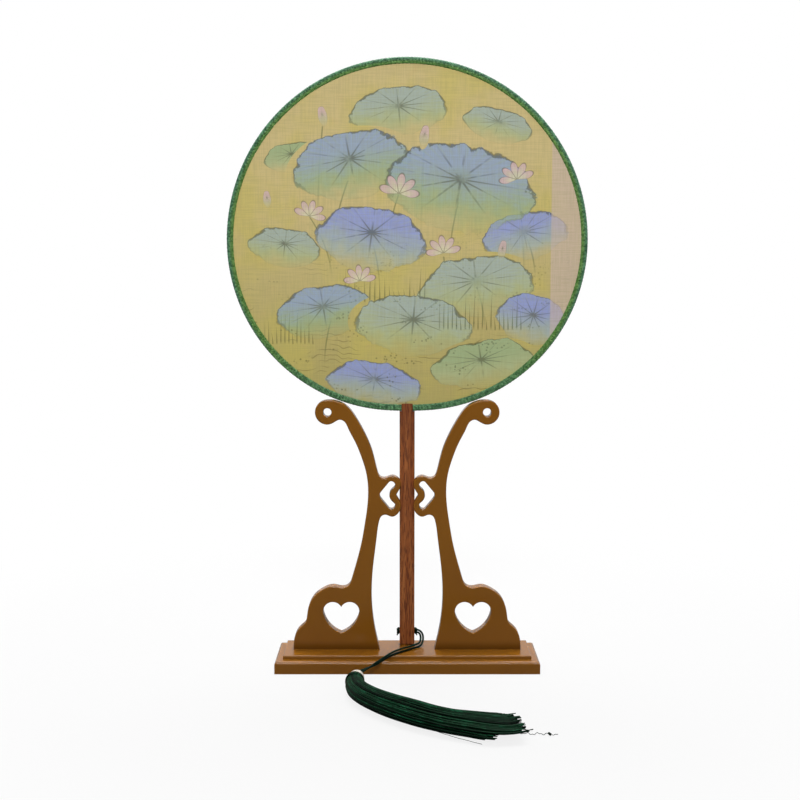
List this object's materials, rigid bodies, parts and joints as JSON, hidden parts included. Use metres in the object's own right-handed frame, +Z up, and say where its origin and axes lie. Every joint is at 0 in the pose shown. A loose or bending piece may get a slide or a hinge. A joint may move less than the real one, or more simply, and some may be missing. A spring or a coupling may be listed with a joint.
{
  "type": "round silk fan on stand",
  "caption": "Round silk palace fan with a braided rim, straight wooden handle and corded tassel, resting on a scroll-sawn wooden display stand.",
  "frame": {"origin": "centre of the plinth's underside, on the surface it stands on", "axes": "+X to the right seen from the front, +Y to the back, +Z up"},
  "size_m": [0.259, 0.1823, 0.4385],
  "materials": {
    "lacquered_wood": "gloss lacquer",
    "zinc_steel": "zinc plated",
    "stained_bamboo": "satin varnish",
    "raw_bamboo": "plain",
    "printed_silk": "stretched, printed",
    "green_braid": "woven",
    "rayon_cord": "twisted",
    "pale_bead": "glossy",
    "rayon_threads": "silky threads"
  },
  "bodies": {
    "stand": {"base": "lacquered_wood", "upright_left": "lacquered_wood", "upright_right": "lacquered_wood", "screws_left": "zinc_steel", "screws_right": "zinc_steel"},
    "fan": {"handle": "stained_bamboo", "rim_hoop": "raw_bamboo", "silk_front": "printed_silk", "silk_back": "printed_silk", "edge_braid": "green_braid", "cord_knot_left": "rayon_cord", "cord_knot_right": "rayon_cord", "tassel_cord": "rayon_cord", "tassel_bead": "pale_bead", "tassel_core": "rayon_threads", "tassel_cap": "rayon_threads", "tassel_skirt": "rayon_threads"}
  },
  "joints": [
    {"name": "fan_lift", "type": "slide", "parent": "stand", "child": "fan", "axis": [0, 0, 1], "range_m": [0, 0.2]}
  ]
}
